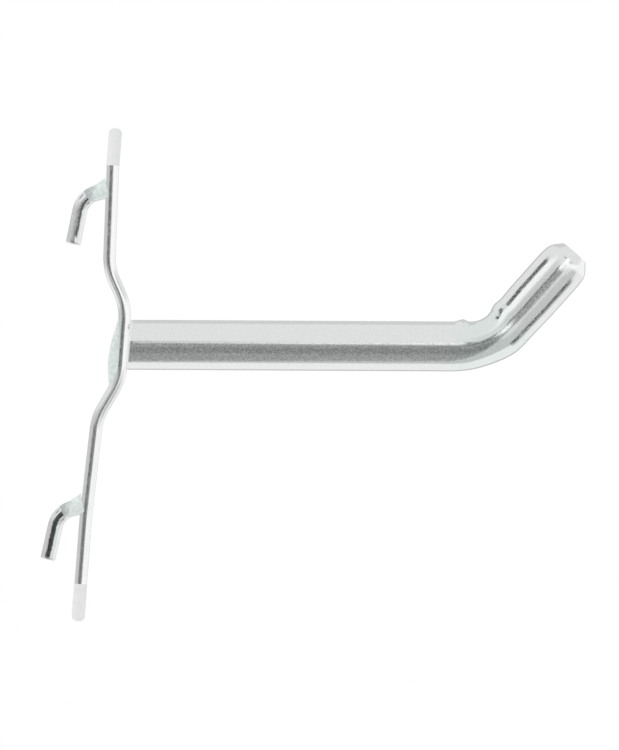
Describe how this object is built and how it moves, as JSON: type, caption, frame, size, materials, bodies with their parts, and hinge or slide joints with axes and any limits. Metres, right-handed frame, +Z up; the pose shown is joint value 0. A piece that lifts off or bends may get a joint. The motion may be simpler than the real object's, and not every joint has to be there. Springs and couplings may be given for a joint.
{
  "type": "panel hook",
  "caption": "Bent round-tube hook arm on an upright wire that hangs in a perforated panel by bent pegs.",
  "frame": {"origin": "where the upper peg's axis passes through the front face of the panel that the hook hangs on", "axes": "+X out of the panel along the arm, +Y across the hook, +Z up"},
  "size_m": [0.1673, 0.0168, 0.1587],
  "materials": {
    "zinc_steel": "bright zinc plating on drawn steel, with faint lengthwise streaks",
    "zinc_weld": "matte zinc plating over weld metal, faintly greenish",
    "cap_plastic": "soft dipped plastic, pale grey"
  },
  "bodies": {
    "root": {"back_wire": "zinc_steel", "arm_tube": "zinc_steel", "upper_peg": "zinc_steel", "lower_peg": "zinc_steel", "arm_back_weld": "zinc_weld", "upper_peg_weld": "zinc_weld", "lower_peg_weld": "zinc_weld", "arm_upper_weld": "zinc_weld", "arm_lower_weld": "zinc_weld", "upper_tip_cap": "cap_plastic", "lower_tip_cap": "cap_plastic"}
  },
  "joints": []
}
